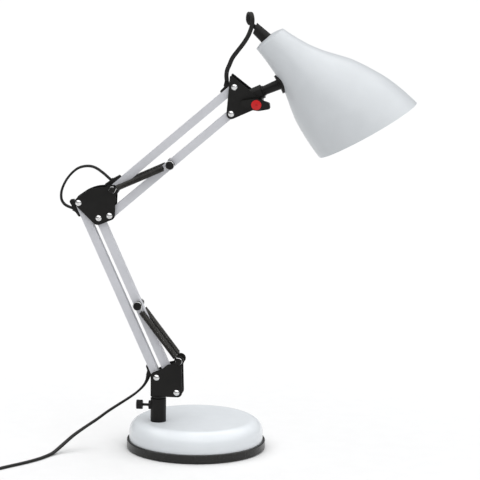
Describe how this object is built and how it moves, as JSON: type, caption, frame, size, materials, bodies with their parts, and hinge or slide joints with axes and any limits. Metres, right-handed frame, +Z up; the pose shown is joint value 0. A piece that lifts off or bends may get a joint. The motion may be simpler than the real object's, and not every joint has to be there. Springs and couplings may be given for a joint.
{
  "type": "desk_lamp",
  "caption": "Spring-balanced swing-arm desk lamp: round weighted base, two parallelogram arms, bell shade and cord.",
  "frame": {"origin": "on the surface the lamp stands on, under the plane of the arms, 21 mm to the near side of the round base's centre", "axes": "+Z up, +X the way the head reaches, arms fold in the XZ plane, -Y towards the side with the wing knob"},
  "size_m": [0.5205, 0.4057, 0.5559],
  "materials": {
    "cover_white": "gloss",
    "arm_white": "satin",
    "shade_white": "satin",
    "tray_black": "gloss",
    "frame_black": "satin",
    "plastic_black": "satin",
    "spring_steel": "dark",
    "rivet_steel": "polished",
    "washer_nylon": "satin",
    "cap_red": "gloss",
    "weight_iron": "rough",
    "pad_rubber": "matte",
    "cord_black": "satin",
    "shell_brass": "polished",
    "bulb_glass": "frosted"
  },
  "bodies": {
    "base": {"foot_pad": "pad_rubber", "base_tray": "tray_black", "tray_screws": "rivet_steel", "base_weight": "weight_iron", "base_cover": "cover_white", "post": "frame_black", "post_nut": "rivet_steel", "cord_drop": "cord_black", "cord_run": "cord_black", "switch_body": "plastic_black", "cord_lead": "cord_black", "cord_coil": "cord_black", "cord_tie": "plastic_black", "plug_lead": "cord_black", "plug_body": "plastic_black", "plug_pins": "shell_brass"},
    "thumb_knob": {"thumb_screw": "plastic_black"},
    "rocker": {"switch_rocker": "plastic_black"},
    "lower_bracket": {"lower_bracket": "frame_black", "bracket_stem": "frame_black", "lower_rivets": "rivet_steel", "lower_washers": "washer_nylon", "lower_spring_near": "spring_steel", "lower_spring_far": "spring_steel"},
    "lower_rear": {"lower_bar_rear": "arm_white", "guide_foot": "plastic_black", "guide_elbow_rear": "plastic_black", "elbow_lead": "cord_black"},
    "lower_front": {"lower_bar_front": "arm_white", "lower_spring_pin": "plastic_black"},
    "elbow": {"elbow_plate_near": "frame_black", "elbow_plate_far": "frame_black", "elbow_rivets": "rivet_steel", "elbow_spring_pin": "frame_black", "elbow_washers": "washer_nylon", "upper_spring_near": "spring_steel", "upper_spring_far": "spring_steel"},
    "upper_top": {"upper_bar_top": "arm_white", "guide_elbow_top": "plastic_black", "guide_head": "plastic_black", "head_lead": "cord_black"},
    "upper_bottom": {"upper_bar_bottom": "arm_white", "upper_spring_pin": "plastic_black"},
    "head_bracket": {"head_plate_near": "frame_black", "head_plate_far": "frame_black", "head_rivets": "rivet_steel", "head_washers": "washer_nylon", "clamp_bolt": "rivet_steel"},
    "wing_knob": {"clamp_knob": "plastic_black", "knob_cap": "cap_red"},
    "knuckle": {"tilt_block": "frame_black"},
    "head": {"shade_stub": "frame_black", "shade_saddle": "frame_black", "shade": "shade_white", "lampholder": "plastic_black", "holder_shell": "shell_brass", "holder_ring": "plastic_black", "holder_tail": "plastic_black", "bulb_cap": "rivet_steel", "bulb_glass": "bulb_glass"}
  },
  "joints": [
    {"name": "column_swivel", "type": "hinge", "parent": "base", "child": "lower_bracket", "pos_m": [-0.045, 0, 0.055], "axis": [0, 0, 1], "range_deg": [-170, 170], "deforming": ["cord_drop"]},
    {"name": "thumb_screw_turn", "type": "hinge", "parent": "base", "child": "thumb_knob", "pos_m": [-0.07, 0, 0.0578], "axis": [1, 0, 0], "range_deg": [-360, 0]},
    {"name": "rocker_tilt", "type": "hinge", "parent": "base", "child": "rocker", "pos_m": [-0.24, -0.191, 0.0114], "axis": [1, 0, 0], "range_deg": [-4, 8]},
    {"name": "lower_arm", "type": "hinge", "parent": "lower_bracket", "child": "lower_rear", "pos_m": [-0.0465, 0, 0.0947], "axis": [0, 1, 0], "range_deg": [-8, 80]},
    {"name": "lower_arm_front", "type": "hinge", "parent": "lower_bracket", "child": "lower_front", "pos_m": [-0.0213, 0, 0.0763], "axis": [0, 1, 0], "range_deg": [-8, 80], "deforming": ["lower_spring_near", "lower_spring_far"]},
    {"name": "elbow_level", "type": "hinge", "parent": "lower_rear", "child": "elbow", "pos_m": [-0.14506, 0, 0.31298], "axis": [0, 1, 0], "range_deg": [-80, 8], "deforming": ["elbow_lead"]},
    {"name": "upper_arm", "type": "hinge", "parent": "elbow", "child": "upper_top", "pos_m": [-0.10256, 0, 0.33118], "axis": [0, 1, 0], "range_deg": [-21, 80]},
    {"name": "upper_arm_bottom", "type": "hinge", "parent": "elbow", "child": "upper_bottom", "pos_m": [-0.10636, 0, 0.29798], "axis": [0, 1, 0], "range_deg": [-21, 80], "deforming": ["upper_spring_near", "upper_spring_far"]},
    {"name": "head_level", "type": "hinge", "parent": "upper_top", "child": "head_bracket", "pos_m": [0.04746, 0, 0.46344], "axis": [0, 1, 0], "range_deg": [-80, 21], "deforming": ["head_lead"]},
    {"name": "head_tilt", "type": "hinge", "parent": "head_bracket", "child": "knuckle", "pos_m": [0.07536, 0, 0.44344], "axis": [0, 1, 0], "range_deg": [-25, 60]},
    {"name": "shade_swivel", "type": "hinge", "parent": "knuckle", "child": "head", "pos_m": [0.06811, 0, 0.45212], "axis": [0.91, 0, 0.4147], "range_deg": [-90, 90]},
    {"name": "clamp_turn", "type": "hinge", "parent": "head_bracket", "child": "wing_knob", "pos_m": [0.07536, -0.012, 0.44344], "axis": [0, 1, 0], "range_deg": [-360, 0]}
  ],
  "couplings": [
    {"joint": "lower_arm_front", "follows": "lower_arm", "ratio": 1},
    {"joint": "elbow_level", "follows": "lower_arm", "ratio": -1},
    {"joint": "upper_arm_bottom", "follows": "upper_arm", "ratio": 1},
    {"joint": "head_level", "follows": "upper_arm", "ratio": -1}
  ]
}
